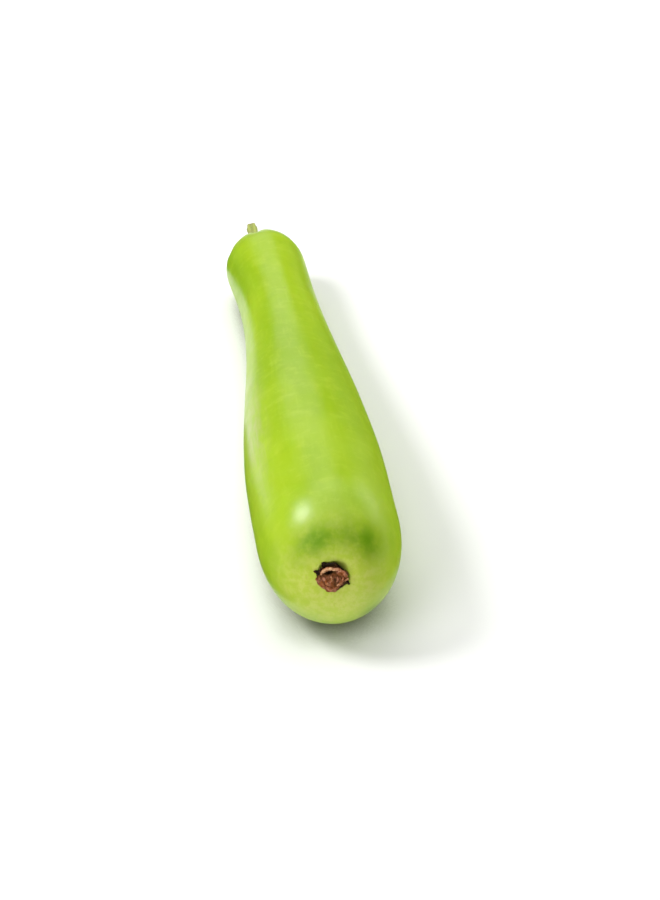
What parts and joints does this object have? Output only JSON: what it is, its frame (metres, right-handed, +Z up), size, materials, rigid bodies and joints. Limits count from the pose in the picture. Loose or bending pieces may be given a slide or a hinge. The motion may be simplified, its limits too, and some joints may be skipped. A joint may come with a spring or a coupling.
{
  "type": "bottle gourd",
  "caption": "Long pale green bottle gourd lying on its side, with a full belly, a slim neck, a furrowed crown with its cut stem, and a dried flower remnant on the blossom end.",
  "frame": {"origin": "centre of the small flat that the belly rests on, on the ground", "axes": "+Z up; +Y along the fruit from the blossom end to the stem end; +X completes a right-handed frame, and the neck bows gently towards it"},
  "size_m": [0.0872, 0.449, 0.0908],
  "materials": {
    "gourd_skin": "smooth waxy lime green skin, paler round the blossom end, with a soft sheen",
    "green_stem": "ribbed olive green stalk with fine short hairs, browned at the cut",
    "dried_flower": "dry crumpled reddish brown tissue with dark torn edges"
  },
  "bodies": {
    "root": {"fruit": "gourd_skin", "stem": "green_stem", "blossom_scar": "dried_flower"}
  },
  "joints": []
}
